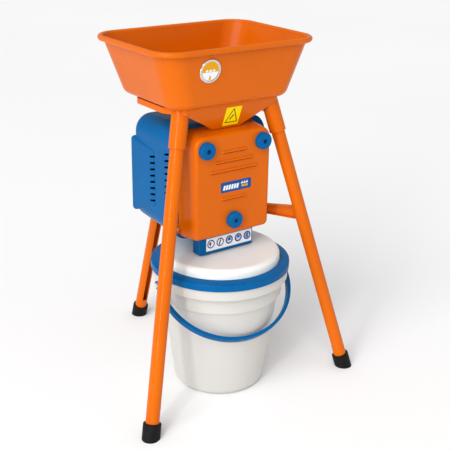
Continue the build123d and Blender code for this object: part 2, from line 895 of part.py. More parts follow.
def make_cover_seal():
    low = axis_z - cover_below_axis
    high = axis_z + cover_above_axis
    outer = rounded_panel(plate_front_y, cover_half_x, low, high, cover_corner, cover_low_corner)
    inner = rounded_panel(
        plate_front_y,
        cover_half_x - seal_width,
        low + seal_width,
        high - seal_width,
        cover_corner - seal_width,
        cover_low_corner - seal_width,
    )
    with BuildPart() as seal:
        extrude(outer, amount=seal_thick)
        extrude(inner, amount=seal_thick, mode=Mode.SUBTRACT)
        block(
            (-throat_half_x - throat_gap, throat_half_x + throat_gap),
            (cover_open_y, plate_front_y),
            (high - 2 * seal_width, high + seal_width),
            mode=Mode.SUBTRACT,
        )
        block(
            (-chute_half_x - chute_gap, chute_half_x + chute_gap),
            (cover_open_y, plate_front_y),
            (low - seal_width, low + 2 * seal_width),
            mode=Mode.SUBTRACT,
        )
    save(seal, "cover_seal")


def make_cover():
    low = axis_z - cover_below_axis
    high = axis_z + cover_above_axis
    outer = drafted_block(
        cover_open_y,
        cover_front_y,
        cover_half_x,
        low,
        high,
        cover_corner,
        cover_low_corner,
        cover_draft,
        cover_front_edge,
    )
    inner = drafted_block(
        cover_open_y,
        cover_front_y + cover_wall,
        cover_half_x - cover_wall,
        low + cover_wall,
        high - cover_wall,
        cover_corner - cover_wall,
        cover_low_corner - cover_wall,
        cover_draft,
        cover_front_edge - cover_wall,
    )
    with BuildPart() as cover:
        add(outer)
        add(inner, mode=Mode.SUBTRACT)
        block(
            (-throat_half_x - throat_gap, throat_half_x + throat_gap),
            (throat_front(apron_bottom_z) - throat_gap, plate_front_y),
            (high - cover_draft - 20, high + 20),
            mode=Mode.SUBTRACT,
        )
        block(
            (-chute_half_x - chute_gap, chute_half_x + chute_gap),
            (chute_front_y - chute_gap, plate_front_y),
            (low - 20, chute_top_z + chute_gap),
            mode=Mode.SUBTRACT,
        )
        for x, z in STUDS:
            bar(stud_radius + 1.0, cover_front_y - 5, plate_front_y, x, z, Mode.SUBTRACT)
        for above, half in LOUVRES.items():
            louvre = Plane((0, cover_front_y, axis_z + above), x_dir=(0, 0, 1), z_dir=(1, 0, 0))
            with Locations(louvre.offset(-half)):
                Cylinder(louvre_radius, 2 * half, align=TOWARDS_MIN)
            with Locations((-half, cover_front_y, axis_z + above), (half, cover_front_y, axis_z + above)):
                Sphere(louvre_radius)
            block(
                (-half - louvre_radius, half + louvre_radius),
                (cover_front_y - louvre_radius, cover_front_y),
                (axis_z + above - louvre_radius, axis_z + above),
                mode=Mode.SUBTRACT,
            )
        add(inner, mode=Mode.SUBTRACT)
    save(cover, "cover")


def make_cover_label():
    with BuildPart() as label:
        with BuildSketch(upright(cover_front_y)):
            with Locations((brand_label_x, axis_z + brand_label_above_axis)):
                RectangleRounded(brand_label_size[0], brand_label_size[1], 4.0)
        extrude(amount=label_thick)
    save(label, "cover_label")


def make_knobs():
    for name, (x, z) in zip(("left", "right", "bottom"), STUDS):
        back = cover_front_y - 0.5
        front = back - knob_height
        with BuildPart() as knob:
            bar(knob_radius, front, back, x, z)
            fillet(knob.faces().sort_by(Axis.Y)[0].edges(), 4.0)
            with BuildSketch(upright(back)):
                with Locations((x, z)):
                    with PolarLocations(knob_radius + 1.2, knob_lobes):
                        Circle(2.2)
            extrude(amount=knob_height, mode=Mode.SUBTRACT)
            bar(knob_socket, front - 1, front + knob_cap_wall - 1.0, x, z, Mode.SUBTRACT)
            bar(stud_radius + stud_clearance, front + knob_cap_wall, back + 1, x, z, Mode.SUBTRACT)
        save(knob, f"knob_{name}")


def make_discharge_chute():
    with BuildPart() as chute:
        block((-chute_half_x, chute_half_x), (chute_front_y, chute_back_y), (chute_bottom_z, chute_top_z))
        fillet(chute.edges().filter_by(Axis.Z), 5.0)
        block(
            (-chute_half_x + chute_wall, chute_half_x - chute_wall),
            (chute_front_y + chute_wall, chute_back_y - chute_wall),
            (chute_bottom_z - 1, chute_top_z + 1),
            mode=Mode.SUBTRACT,
        )
        block(
            (-chute_half_x + 10, chute_half_x - 10),
            (chute_back_y - chute_wall, plate_front_y),
            (axis_z - casing_below_axis + 6.0, chute_top_z),
        )
    save(chute, "discharge_chute")


def make_pictogram_label():
    with BuildPart() as label:
        with BuildSketch(upright(chute_front_y)):
            with Locations((6.0, (chute_bottom_z + 5.0 + cover_bottom_z) / 2)):
                Rectangle(2 * chute_half_x - 22.0, cover_bottom_z - chute_bottom_z - 9.0)
        extrude(amount=label_thick)
    save(label, "pictogram_label")


def make_chamber_ring():
    """The ring on the plate that the sieve slips into, open above for the falling crop."""
    with BuildPart() as ring:
        bar(sieve_radius + chamber_wall, plate_front_y - chamber_depth, plate_front_y)
        bar(sieve_radius, plate_front_y - chamber_depth, plate_front_y, mode=Mode.SUBTRACT)
        block(
            (-throat_half_x - 2, throat_half_x + 2),
            (plate_front_y - chamber_depth, plate_front_y),
            (axis_z + 20, axis_z + 200),
            mode=Mode.SUBTRACT,
        )
    save(ring, "chamber_ring")


def make_sieve():
    """The perforated screen round the rotor, open above for the falling crop."""
    front = cover_front_y + cover_wall + sieve_end_gap
    length = plate_front_y - front
    with BuildPart() as sieve:
        bar(sieve_radius, front, plate_front_y)
        bar(sieve_radius - sieve_wall, front, plate_front_y, mode=Mode.SUBTRACT)
        block(
            (-throat_half_x - 2, throat_half_x + 2),
            (front, plate_front_y),
            (axis_z + 20, axis_z + 200),
            mode=Mode.SUBTRACT,
        )
        row_pitch = (length - 2 * sieve_margin - chamber_depth) / (sieve_rows - 1)
        for row in range(sieve_rows):
            y = front + sieve_margin + row * row_pitch
            for step in range(int(sieve_arc / sieve_step) + 1):
                turn = math.radians(270.0 - sieve_arc / 2 + step * sieve_step)
                out = Vector(math.cos(turn), 0, math.sin(turn))
                place = Plane((0, y, axis_z), x_dir=(0, 1, 0), z_dir=out)
                with Locations(place.offset(sieve_radius - 2 * sieve_wall)):
                    Cylinder(sieve_hole, 4 * sieve_wall, align=TOWARDS_MIN, mode=Mode.SUBTRACT)
    save(sieve, "sieve")


# ---------------------------------------------------------------- rotor
def hammer_pivots():
    """The four hammer pins' places, on diagonals about the shaft, as (x, z)."""
    reach = hammer_pivot * math.sqrt(0.5)
    return [(-reach, axis_z + reach), (reach, axis_z + reach), (reach, axis_z - reach), (-reach, axis_z - reach)]


def make_rotor():
    """A spool of two discs on a hub, that carries the hammer pins."""
    with BuildPart() as rotor:
        bar(disc_radius, rotor_back_y - disc_sheet, rotor_back_y)
        bar(disc_radius, rotor_front_y, rotor_front_y + disc_sheet)
        bar(hub_radius, rotor_front_y, rotor_back_y)
        bar(shaft_radius, rotor_front_y - 1, rotor_back_y + 1, mode=Mode.SUBTRACT)
        for x, z in hammer_pivots():
            bar(hammer_pin, rotor_front_y - 1, rotor_back_y + 1, x, z, Mode.SUBTRACT)
    save(rotor, "rotor_disc")
    with BuildPart() as pins:
        for x, z in hammer_pivots():
            bar(hammer_pin, rotor_front_y, rotor_back_y, x, z)
            bar(hammer_pin + 2.0, rotor_front_y - 1.5, rotor_front_y, x, z)
    save(pins, "hammer_pins")
    with BuildPart() as washer:
        bar(washer_radius, rotor_front_y - washer_thick, rotor_front_y)
        bar(shaft_radius * 0.8, rotor_front_y - washer_thick, rotor_front_y, mode=Mode.SUBTRACT)
    save(washer, "rotor_washer")
    nut_back = rotor_front_y - washer_thick
    with BuildPart() as nut:
        with BuildSketch(upright(nut_back)):
            with Locations((0, axis_z)):
                RegularPolygon(nut_width / 2, 6, major_radius=False)
                Circle(shaft_radius * 0.8, mode=Mode.SUBTRACT)
        extrude(amount=nut_height)
        chamfer(nut.faces().sort_by(Axis.Y)[0].outer_wire().edges(), 0.8)
    save(nut, "rotor_nut")


def make_hammers():
    """Flat hammers that hang from their pins: opposite ones share a layer, so none can meet."""
    width = rotor_width / 2 - 2 * hammer_side_gap
    for number, (x, z) in enumerate(hammer_pivots(), start=1):
        layer = rotor_back_y - disc_sheet - hammer_side_gap
        back = layer - (number % 2) * (width + 2 * hammer_side_gap)
        with BuildPart() as hammer:
            with BuildSketch(upright(back)):
                with Locations((x, z)):
                    Circle(hammer_half)
                with Locations((x, z - hammer_length / 2)):
                    Rectangle(2 * hammer_half, hammer_length)
                with Locations((x, z)):
                    Circle(hammer_pin + running, mode=Mode.SUBTRACT)
            extrude(amount=width)
        save(hammer, f"hammer_{number}")


# ---------------------------------------------------------------- motor
def make_shaft():
    nut_end = rotor_front_y - washer_thick - nut_height - 1.5
    with BuildPart() as shaft:
        bar(shaft_radius, rotor_front_y, fan_front_y + fan_depth)
        bar(shaft_radius * 0.8, nut_end, rotor_front_y)
        chamfer(shaft.faces().sort_by(Axis.Y)[0].edges(), 0.8)
    save(shaft, "motor_shaft")


def make_rotor_core():
    with BuildPart() as core:
        bar(stator_bore - air_gap, stator_front_y, stator_back_y)
        bar(stator_bore - 6.0, stator_front_y - 5.0, stator_back_y + 5.0)
        bar(shaft_radius, stator_front_y - 6.0, stator_back_y + 6.0, mode=Mode.SUBTRACT)
    save(core, "motor_rotor_core")


def make_bearings():
    places = {
        "front_bearing": plate_back_y + shield_wall,
        "rear_bearing": shield_back_y - shield_wall - bearing_width,
    }
    for name, front in places.items():
        with BuildPart() as bearing:
            bar(bearing_outer, front, front + bearing_width)
            for face_y in (front, front + bearing_width):
                bar(bearing_outer - 3.5, face_y - 1.0, face_y + 1.0, mode=Mode.SUBTRACT)
                bar(shaft_radius + 3.5, face_y - 1.0, face_y + 1.0)
            bar(bearing_outer, front - 5.0, front, mode=Mode.SUBTRACT)
            bar(bearing_outer, front + bearing_width, front + bearing_width + 5.0, mode=Mode.SUBTRACT)
            bar(shaft_radius + running, front - 5, front + bearing_width + 5, mode=Mode.SUBTRACT)
        save(bearing, name)


def make_stator():
    with BuildPart() as core:
        with BuildSketch(upright(stator_front_y)):
            with Locations((0, axis_z)):
                Circle(stator_radius)
                Circle(stator_bore, mode=Mode.SUBTRACT)
                with PolarLocations((winding_inner + winding_outer) / 2, stator_slots):
                    Rectangle(winding_outer - winding_inner, slot_width, mode=Mode.SUBTRACT)
                with PolarLocations(tie_circle, 4, start_angle=45):
                    Circle(tie_radius, mode=Mode.SUBTRACT)
        extrude(amount=-stator_length)
    save(core, "stator_core")
    with BuildPart() as winding:
        for front in (stator_front_y - winding_overhang, stator_back_y):
            bar(winding_outer, front, front + winding_overhang)
        bar(winding_inner, stator_front_y - 50.0, stator_back_y + 50.0, mode=Mode.SUBTRACT)
        with BuildSketch(upright(stator_front_y)):
            with Locations((0, axis_z)):
                with PolarLocations((winding_inner + winding_outer) / 2, stator_slots):
                    Rectangle(winding_outer - winding_inner, slot_width)
        extrude(amount=-stator_length)
        fillet(winding.edges().filter_by(GeomType.CIRCLE).group_by(Axis.Y)[0], 3.0)
        fillet(winding.edges().filter_by(GeomType.CIRCLE).group_by(Axis.Y)[-1], 3.0)
    save(winding, "stator_winding")


def make_shields():
    """The two cup-shaped end shields that hold the bearings and clamp the stator."""
    ends = {
        "front_end_shield": (plate_back_y, 1),
        "rear_end_shield": (shield_back_y, -1),
    }
    for name, (closed, way) in ends.items():
        def span(start, stop):
            return sorted((closed + way * start, closed + way * stop))
        with BuildPart() as shield:
            bar(shield_radius, *span(0, shield_depth + 4.0))
            bar(stator_radius, *span(shield_depth, shield_depth + 5.0), mode=Mode.SUBTRACT)
            bar(shield_radius - 5.0, *span(shield_wall, shield_depth + 1.0), mode=Mode.SUBTRACT)
            bar(bearing_outer + shield_wall, *span(0, shield_wall + bearing_width))
            bar(bearing_outer, *span(shield_wall, shield_wall + bearing_width + 1.0), mode=Mode.SUBTRACT)
            bar(shaft_radius + 2.0, *span(-1.0, shield_depth), mode=Mode.SUBTRACT)
            for turn in range(4):
                angle = math.radians(45 + 90 * turn)
                x = tie_circle * math.cos(angle)
                z = axis_z + tie_circle * math.sin(angle)
                bar(tie_radius, *span(-1.0, shield_depth + 5.0), x, z, Mode.SUBTRACT)
        save(shield, name)


def make_tie_bolts():
    with BuildPart() as bolts:
        for turn in range(4):
            angle = math.radians(45 + 90 * turn)
            x = tie_circle * math.cos(angle)
            z = axis_z + tie_circle * math.sin(angle)
            bar(tie_radius, plate_front_y, shield_back_y, x, z)
            bar(2 * tie_radius, shield_back_y, shield_back_y + 3.0, x, z)
    save(bolts, "motor_tie_bolts")


def make_fan():
    with BuildPart() as fan:
        bar(fan_hub, fan_front_y, fan_front_y + fan_depth)
        bar(fan_radius, fan_front_y + fan_depth - 2.0, fan_front_y + fan_depth)
        with BuildSketch(upright(fan_front_y)):
            with Locations((0, axis_z)):
                with PolarLocations((fan_hub + fan_radius) / 2, fan_blades):
                    Rectangle(fan_radius - fan_hub + 2.0, 2.0)
        extrude(amount=-fan_depth)
        bar(shaft_radius, fan_front_y - 1, fan_front_y + fan_depth + 1, mode=Mode.SUBTRACT)
    save(fan, "cooling_fan")


def make_capacitor():
    z = axis_z + capacitor_above
    front = plate_back_y + 6.0
    with BuildPart() as capacitor:
        bar(capacitor_radius, front, front + capacitor_length, capacitor_x, z)
        fillet(capacitor.faces().sort_by(Axis.Y)[-1].edges(), 2.0)
        for side in (-5.0, 5.0):
            bar(1.5, front + capacitor_length, front + capacitor_length + 8.0, capacitor_x + side, z)
    save(capacitor, "capacitor")
    with BuildPart() as clip:
        bar(capacitor_radius + 1.5, plate_back_y, front + 14.0, capacitor_x, z)
        bar(capacitor_radius, front, front + 20.0, capacitor_x, z, Mode.SUBTRACT)
    save(clip, "capacitor_clip")


def make_switch():
    """The switch block in the casing's rear wall, with a start and a stop button."""
    z = axis_z + switch_above
    half_x = switch_size[0] / 2
    half_z = switch_size[1] / 2
    face = vent_back_y + bezel_lip
    with BuildPart() as body:
        block((switch_x - half_x, switch_x + half_x), (face - switch_depth, face), (z - half_z, z + half_z))
        block(
            (switch_x - half_x - bezel_lip, switch_x + half_x + bezel_lip),
            (vent_back_y, face),
            (z - half_z - bezel_lip, z + half_z + bezel_lip),
        )
        for side in (-1, 1):
            middle = z + side * button_pitch / 2
            block(
                (switch_x - button_size[0] / 2 - button_gap, switch_x + button_size[0] / 2 + button_gap),
                (face - 12.0, face + 1),
                (middle - button_size[1] / 2 - button_gap, middle + button_size[1] / 2 + button_gap),
                mode=Mode.SUBTRACT,
            )
    save(body, "switch_body")
    for name, side in (("on_button", 1), ("off_button", -1)):
        middle = z + side * button_pitch / 2
        with BuildPart() as button:
            block(
                (switch_x - button_size[0] / 2, switch_x + button_size[0] / 2),
                (face - 7.5, face + button_proud),
                (middle - button_size[1] / 2, middle + button_size[1] / 2),
            )
            fillet(button.faces().sort_by(Axis.Y)[-1].edges(), 1.5)
        save(button, name)


def make_gland():
    z = axis_z - gland_below
    with BuildPart() as gland:
        bar(gland_radius, vent_back_y - casing_wall - 6.0, vent_back_y, gland_x, z)
        with BuildSketch(upright(vent_back_y)):
            with Locations((gland_x, z)):
                RegularPolygon(gland_radius + 3.0, 6)
        extrude(amount=-6.0)
        bar(gland_radius - 1.0, vent_back_y + 6.0, vent_back_y + 16.0, gland_x, z)
        chamfer(gland.faces().sort_by(Axis.Y)[-1].edges(), 2.5)
        bar(4.0, vent_back_y - 20.0, vent_back_y + 30.0, gland_x, z, Mode.SUBTRACT)
    save(gland, "cable_gland")


# ---------------------------------------------------------------- bucket
def bail_direction():
    """The way along the floor in which the hanging bail points."""
    turn = math.radians(bail_yaw)
    return Vector(math.sin(turn), -math.cos(turn), 0)


def bail_axis_direction():
    return Vector(math.cos(math.radians(bail_yaw)), math.sin(math.radians(bail_yaw)), 0)


def make_bucket():
    neck_z = lid_seat_z - bucket_neck - 10.0
    lip_z = lid_seat_z - bucket_lip
    lip_radius = bucket_neck_radius + 6.0
    inner_floor = (bucket_floor_radius - bucket_wall, bucket_wall + 1.0)
    with BuildPart() as bucket:
        with BuildSketch(Plane.XZ.offset(-bucket_y)) as profile:
            with BuildLine():
                Polyline(
                    (0, 0),
                    (bucket_floor_radius, 0),
                    (bucket_shoulder_radius, neck_z),
                    (bucket_neck_radius, neck_z + 3.0),
                    (bucket_neck_radius, lip_z - bucket_lip_sheet),
                    (bucket_collar_radius, lip_z - bucket_lip_sheet),
                    (bucket_collar_radius, lip_z),
                    (lip_radius, lip_z),
                    (lip_radius, lid_seat_z - 2.0),
                    (bucket_neck_radius - bucket_wall, lid_seat_z - 2.0),
                    (bucket_neck_radius - bucket_wall, neck_z + 5.0),
                    (bucket_shoulder_radius - bucket_wall, neck_z),
                    inner_floor,
                    (0, inner_floor[1]),
                    close=True,
                )
            make_face()
            outside = profile.vertices().sort_by_distance((bucket_floor_radius, 0, 0))[0]
            fillet(outside, bucket_floor_edge)
            inside = profile.vertices().sort_by_distance((inner_floor[0], inner_floor[1], 0))[0]
            fillet(inside, bucket_floor_edge - bucket_wall)
        revolve(axis=Axis((0, bucket_y, 0), (0, 0, 1)))
        with BuildSketch(Plane.XY.offset(lip_z)):
            with Locations((0, bucket_y)):
                Circle(bucket_collar_radius)
                Circle(bucket_collar_radius - bucket_wall, mode=Mode.SUBTRACT)
        extrude(amount=-collar_height)
        along = bail_axis_direction()
        pin_end = bail_half_width + bail_thick / 2 + 1.0
        for side in (-1, 1):
            place = Plane((0, bucket_y, bail_z), x_dir=(0, 0, 1), z_dir=along * side)
            with Locations(place.offset(bucket_neck_radius - 1.0)):
                Cylinder(bail_boss, bucket_collar_radius - bucket_neck_radius + 3.0, align=TOWARDS_MIN)
            with Locations(place.offset(bucket_neck_radius)):
                Cylinder(bail_pin, pin_end - bucket_neck_radius, align=TOWARDS_MIN)
            with Locations(place.offset(pin_end)):
                Cylinder(bail_pin + 1.5, 2.0, align=TOWARDS_MIN)
    save(bucket, "bucket")


def make_lid():
    hook = bucket_neck_radius + lid_hook
    inner_top = (lid_radius - lid_wall, lid_top_z - lid_wall)
    with BuildPart() as lid:
        with BuildSketch(Plane.XZ.offset(-bucket_y)) as profile:
            with BuildLine():
                Polyline(
                    (0, lid_top_z),
                    (lid_radius, lid_top_z),
                    (lid_radius + lid_taper, lid_seat_z + 1.0),
                    (hook, lid_seat_z + 1.0),
                    (hook, lid_seat_z - 2.0),
                    (lid_radius + lid_taper - lid_wall, lid_seat_z - 2.0),
                    inner_top,
                    (0, inner_top[1]),
                    close=True,
                )
            make_face()
            outside = profile.vertices().sort_by_distance((lid_radius, lid_top_z, 0))[0]
            fillet(outside, lid_edge)
            inside = profile.vertices().sort_by_distance((inner_top[0], inner_top[1], 0))[0]
            fillet(inside, lid_edge - lid_wall)
        revolve(axis=Axis((0, bucket_y, 0), (0, 0, 1)))
    save(lid, "bucket_lid")
    inner = lid_radius + 2 * lid_taper
    outer_top = lid_seat_z + ring_above_seat
    with BuildPart() as ring:
        with BuildSketch(Plane.XZ.offset(-bucket_y)) as profile:
            with BuildLine():
                Polyline(
                    (inner, lid_seat_z + 1.0),
                    (inner, outer_top + ring_above_seat),
                    (lid_ring_radius, outer_top),
                    (lid_ring_radius, outer_top - lid_ring_height),
                    (lid_ring_radius - ring_wall, outer_top - lid_ring_height),
                    (lid_ring_radius - ring_wall, lid_seat_z + 1.0),
                    close=True,
                )
            make_face()
            shoulder = profile.vertices().sort_by_distance((lid_ring_radius, outer_top, 0))[0]
            fillet(shoulder, ring_wall - 1.0)
        revolve(axis=Axis((0, bucket_y, 0), (0, 0, 1)))
    save(ring, "lid_ring")


def make_bail():
    """The carrying bail: a thick band bent to half an ellipse, with an eye at each end."""
    droop = math.radians(bail_droop)
    down = bail_direction() * math.cos(droop) + Vector(0, 0, -math.sin(droop))
    along = bail_axis_direction()
    place = Plane((0, bucket_y, bail_z), x_dir=along, z_dir=along.cross(down))
    inner_x = bail_half_width - bail_thick / 2
    outer_x = bail_half_width + bail_thick / 2
    with BuildPart() as bail:
        with BuildSketch(place.offset(-bail_width / 2)):
            with Locations((0, bail_straight)):
                Ellipse(outer_x, bail_reach - bail_straight)
            with Locations((0, bail_straight / 2)):
                Rectangle(2 * outer_x, bail_straight)
            with Locations((0, bail_straight)):
                Ellipse(inner_x, bail_reach - bail_straight - bail_thick, mode=Mode.SUBTRACT)
            with Locations((0, bail_straight / 2)):
                Rectangle(2 * inner_x, bail_straight, mode=Mode.SUBTRACT)
            with Locations((0, -bail_reach)):
                Rectangle(4 * bail_reach, 2 * bail_reach, mode=Mode.SUBTRACT)
        extrude(amount=bail_width)
        for side in (-1, 1):
            end = Plane((0, bucket_y, bail_z), x_dir=(0, 0, 1), z_dir=along * side)
            with Locations(end.offset(bail_half_width - bail_thick / 2)):
                Cylinder(bail_boss, bail_thick, align=TOWARDS_MIN)
            with Locations(end.offset(bail_half_width - bail_thick)):
                Cylinder(bail_pin + running, 2 * bail_thick, align=TOWARDS_MIN, mode=Mode.SUBTRACT)
    save(bail, "bail_handle")


def main():
    os.makedirs("parts", exist_ok=True)
    make_hopper()
    make_hopper_bolts()
    make_badge()
    make_support_frame()
    make_warning_label()
    for name in LEGS:
        make_leg(name)
        make_foot(name)
    make_leg_bolts()
    make_braces()
    make_brace_bolts()
    make_feed_throat()
    make_feed_gate()
    make_gate_knob()
    make_mounting_plate()
    make_motor_casing()
    make_casing_screws()
    make_cover_studs()
    make_cover_seal()
    make_cover()
    make_cover_label()
    make_knobs()
    make_discharge_chute()
    make_pictogram_label()
    make_chamber_ring()
    make_sieve()
    make_rotor()
    make_hammers()
    make_shaft()
    make_rotor_core()
    make_bearings()
    make_stator()
    make_shields()
    make_tie_bolts()
    make_fan()
    make_capacitor()
    make_switch()
    make_gland()
    make_bucket()
    make_lid()
    make_bail()


main()
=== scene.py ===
import json
import math

import bmesh
import bpy
from mathutils import Matrix, Vector


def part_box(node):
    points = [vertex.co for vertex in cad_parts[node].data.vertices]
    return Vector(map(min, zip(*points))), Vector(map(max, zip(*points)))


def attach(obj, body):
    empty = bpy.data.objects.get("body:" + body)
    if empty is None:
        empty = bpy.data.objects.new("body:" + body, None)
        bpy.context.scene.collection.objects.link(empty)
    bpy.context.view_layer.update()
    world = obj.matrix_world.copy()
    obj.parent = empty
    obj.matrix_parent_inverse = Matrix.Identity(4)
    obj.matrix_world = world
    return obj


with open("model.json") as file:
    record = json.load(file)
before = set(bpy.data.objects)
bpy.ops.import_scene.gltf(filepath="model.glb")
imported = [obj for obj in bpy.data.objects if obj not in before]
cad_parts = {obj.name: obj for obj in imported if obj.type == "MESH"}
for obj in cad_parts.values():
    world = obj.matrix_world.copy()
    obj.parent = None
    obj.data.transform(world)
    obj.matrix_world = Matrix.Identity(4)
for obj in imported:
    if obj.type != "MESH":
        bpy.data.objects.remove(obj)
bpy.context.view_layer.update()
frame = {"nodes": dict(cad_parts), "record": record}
nodes = frame["nodes"]


# ------------------------------------------------------------------ materials
class Shader:
    """A material's node tree, with short calls for the nodes that the finishes share."""

    def __init__(self, name):
        self.material = bpy.data.materials.new(name)
        self.material.use_nodes = True
        self.tree = self.material.node_tree
        self.surface = self.tree.nodes["Principled BSDF"]
        self.coordinates = self.tree.nodes.new("ShaderNodeTexCoord")

    def set(self, **values):
        """Sets the shader's own sockets, named with underscores for spaces."""
        for name, value in values.items():
            self.surface.inputs[name.replace("_", " ")].default_value = value
        return self

    def link(self, output, target, socket):
        self.tree.links.new(output, target.inputs[socket])

    def noise(self, scale, detail=3.0, roughness=0.5, stretch=(1, 1, 1), coordinates="Object"):
        mapping = self.tree.nodes.new("ShaderNodeMapping")
        mapping.inputs["Scale"].default_value = stretch
        self.link(self.coordinates.outputs[coordinates], mapping, "Vector")
        texture = self.tree.nodes.new("ShaderNodeTexNoise")
        texture.inputs["Scale"].default_value = scale
        texture.inputs["Detail"].default_value = detail
        texture.inputs["Roughness"].default_value = roughness
        self.link(mapping.outputs["Vector"], texture, "Vector")
        return texture.outputs["Fac"]

    def ramp(self, value, stops):
        ramp = self.tree.nodes.new("ShaderNodeValToRGB")
        elements = ramp.color_ramp.elements
        while len(elements) < len(stops):
            elements.new(0.5)
        for element, (place, color) in zip(elements, stops):
            element.position = place
            element.color = (*color, 1.0) if len(color) == 3 else color
        self.link(value, ramp, "Fac")
        return ramp.outputs["Color"]

    def span(self, value, low, high, start=0.3, stop=0.7):
        node = self.tree.nodes.new("ShaderNodeMapRange")
        node.inputs["From Min"].default_value = start
        node.inputs["From Max"].default_value = stop
        node.inputs["To Min"].default_value = low
        node.inputs["To Max"].default_value = high
        self.link(value, node, "Value")
        return node.outputs["Result"]

    def color(self, value):
        self.link(value, self.surface, "Base Color")
        return self

    def roughness(self, value):
        self.link(value, self.surface, "Roughness")
        return self

    def bump(self, value, strength, distance):
        node = self.tree.nodes.new("ShaderNodeBump")
        node.inputs["Strength"].default_value = strength
        node.inputs["Distance"].default_value = distance
        self.link(value, node, "Height")
        self.link(node.outputs["Normal"], self.surface, "Normal")
        return self


def shade(color, factor):
    """A colour made darker or lighter."""
    return tuple(min(1.0, channel * factor) for channel in color)


def painted(name, color):
    """Gloss powder coat: a faint orange-peel ripple, and a tone that drifts a little."""
    paint = Shader(name)
    drift = paint.noise(5.0, 2.0)
    paint.color(paint.ramp(drift, [(0.3, shade(color, 0.93)), (0.7, shade(color, 1.05))]))
    paint.roughness(paint.span(paint.noise(28.0, 4.0), 0.24, 0.33))
    paint.bump(paint.noise(520.0, 2.0), 0.10, 0.0004)
    return paint.set(Coat_Weight=0.10, Coat_Roughness=0.06, Specular_IOR_Level=0.10).material


def moulded(name, color, low=0.26, high=0.36, grain=0.06, sheen_scale=900.0):
    """Injection-moulded plastic: a fine spark-eroded grain and slow changes of gloss."""
    plastic = Shader(name)
    drift = plastic.noise(9.0, 2.0)
    plastic.color(plastic.ramp(drift, [(0.3, shade(color, 0.95)), (0.7, shade(color, 1.04))]))
    plastic.roughness(plastic.span(plastic.noise(35.0, 3.0), low, high))
    plastic.bump(plastic.noise(sheen_scale, 2.0), grain, 0.0003)
    return plastic.set(Specular_IOR_Level=0.05, Coat_Weight=0.05, Coat_Roughness=0.06).material


def polypropylene(name, color):
    """Milky bucket plastic that lets a little light in."""
    plastic = Shader(name)
    drift = plastic.noise(6.0, 3.0, 0.6, (1, 1, 0.25))
    plastic.color(plastic.ramp(drift, [(0.3, shade(color, 0.965)), (0.7, color)]))
    plastic.roughness(plastic.span(plastic.noise(22.0, 4.0, 0.6, (1, 1, 0.2)), 0.30, 0.42))
    plastic.bump(plastic.noise(240.0, 3.0, 0.5, (1, 1, 0.15)), 0.05, 0.0004)
    plastic.set(Subsurface_Weight=0.12, Subsurface_Radius=(0.012, 0.010, 0.008))
    return plastic.set(Subsurface_Scale=0.5, Specular_IOR_Level=0.45).material


def metal(name, color, low, high, stretch=(1, 1, 1), scale=180.0, strength=0.12):
    """Bare or plated metal with fine streaks along the way it was worked."""
    plate = Shader(name)
    streak = plate.noise(scale, 4.0, 0.6, stretch)
    plate.color(plate.ramp(streak, [(0.3, shade(color, 0.82)), (0.7, color)]))
    plate.roughness(plate.span(streak, low, high))
    plate.bump(plate.noise(scale * 2, 3.0, 0.5, stretch), strength, 0.0003)
    return plate.set(Metallic=1.0).material


def rubber(name):
    """Matte black rubber with a dusty mottle."""
    foot = Shader(name)
    mottle = foot.noise(60.0, 5.0, 0.65)
    foot.color(foot.ramp(mottle, [(0.35, (0.004, 0.004, 0.004)), (0.75, (0.012, 0.011, 0.011))]))
    foot.roughness(foot.span(mottle, 0.55, 0.75))
    foot.bump(foot.noise(420.0, 4.0), 0.25, 0.0005)
    return foot.set(Specular_IOR_Level=0.15).material


def sticker(name, color):
    """A printed vinyl sticker: satin, with a hint of the paint's ripple under it."""
    vinyl = Shader(name)
    drift = vinyl.noise(40.0, 2.0)
    vinyl.color(vinyl.ramp(drift, [(0.3, shade(color, 0.97)), (0.7, color)]))
    vinyl.roughness(vinyl.span(vinyl.noise(90.0, 3.0), 0.28, 0.38))
    vinyl.bump(vinyl.noise(300.0, 2.0), 0.05, 0.0002)
    return vinyl.set(Specular_IOR_Level=0.08).material


def copper_wire(name):
    """Enamelled copper wire laid in close turns."""
    wire = Shader(name)
    strands = wire.noise(260.0, 3.0, 0.6, (1, 0.1, 1))
    wire.color(wire.ramp(strands, [(0.35, (0.30, 0.07, 0.02)), (0.7, (0.68, 0.25, 0.09))]))
    wire.roughness(wire.span(strands, 0.22, 0.42))
    wire.bump(strands, 0.7, 0.001)
    return wire.set(Metallic=0.85).material


